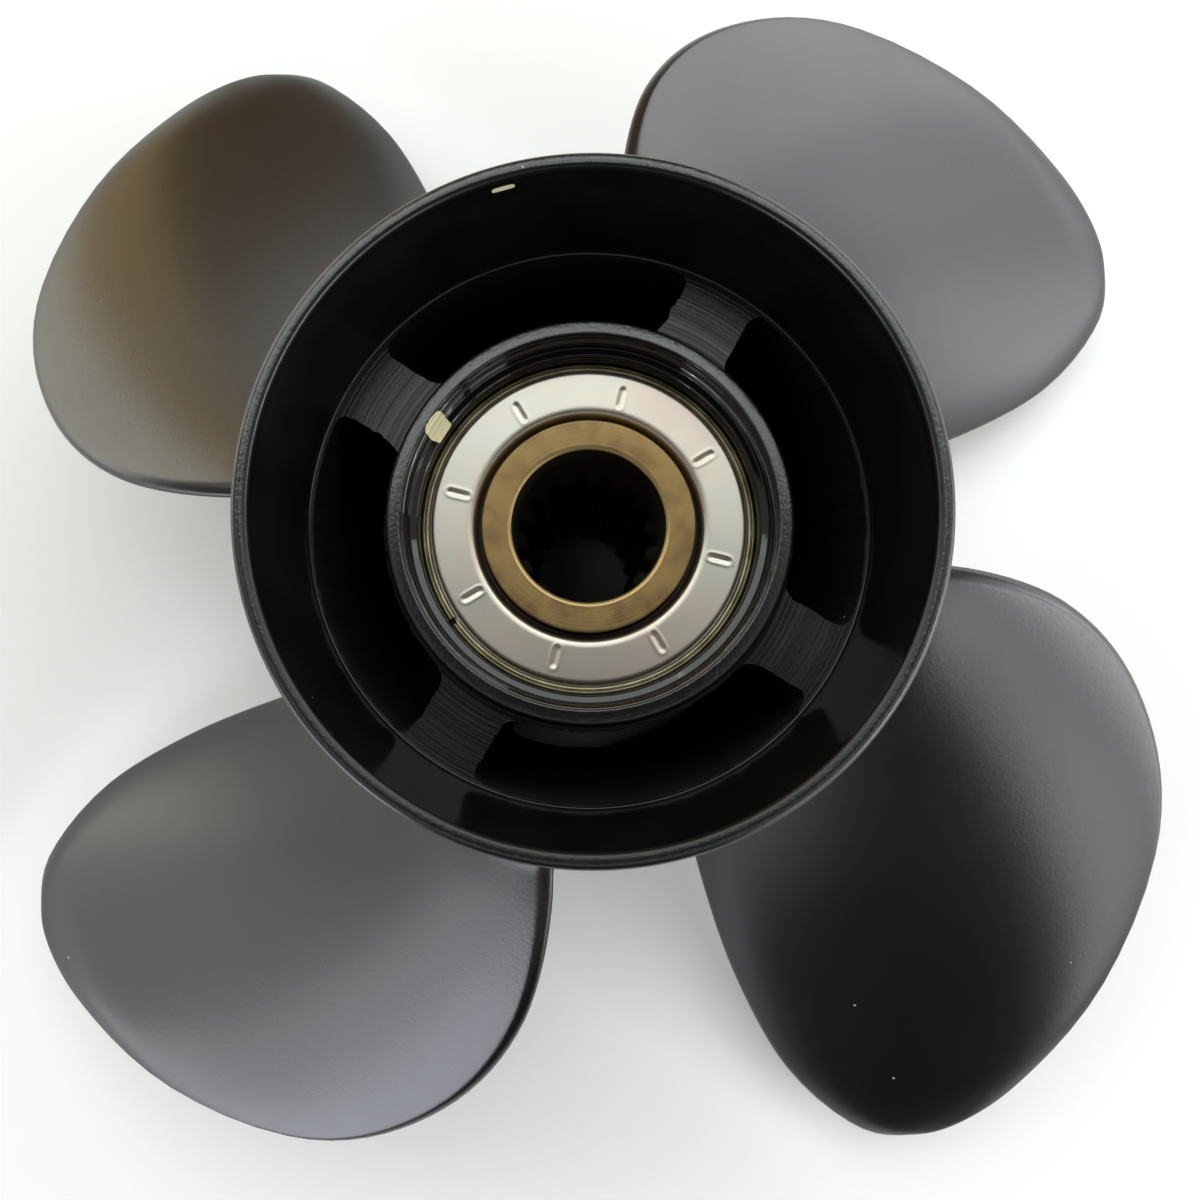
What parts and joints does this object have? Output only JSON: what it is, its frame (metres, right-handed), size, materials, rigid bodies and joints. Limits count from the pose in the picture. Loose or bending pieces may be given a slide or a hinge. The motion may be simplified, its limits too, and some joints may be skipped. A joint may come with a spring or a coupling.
{
  "type": "outboard boat propeller",
  "caption": "Right-hand outboard boat propeller: broad raked blades on a barrel with exhaust passages, and a rubber-bushed splined brass sleeve.",
  "frame": {"origin": "on the shaft axis, in the plane of the aft rim that it stands on", "axes": "+Z along the shaft axis from the aft rim to the front rim, +X and +Y square to it with the first blade between them"},
  "size_m": [0.2956, 0.2956, 0.128],
  "materials": {
    "black_paint": "satin black paint over cast aluminium",
    "brass": "aged, turned",
    "rubber": "matte",
    "stainless": "pressed, satin",
    "spring_steel": "olive passivated"
  },
  "bodies": {
    "root": {"propeller_casting": "black_paint", "brass_sleeve": "brass", "rubber_bush": "rubber", "stamped_ring": "stainless", "snap_ring": "spring_steel"}
  },
  "joints": []
}
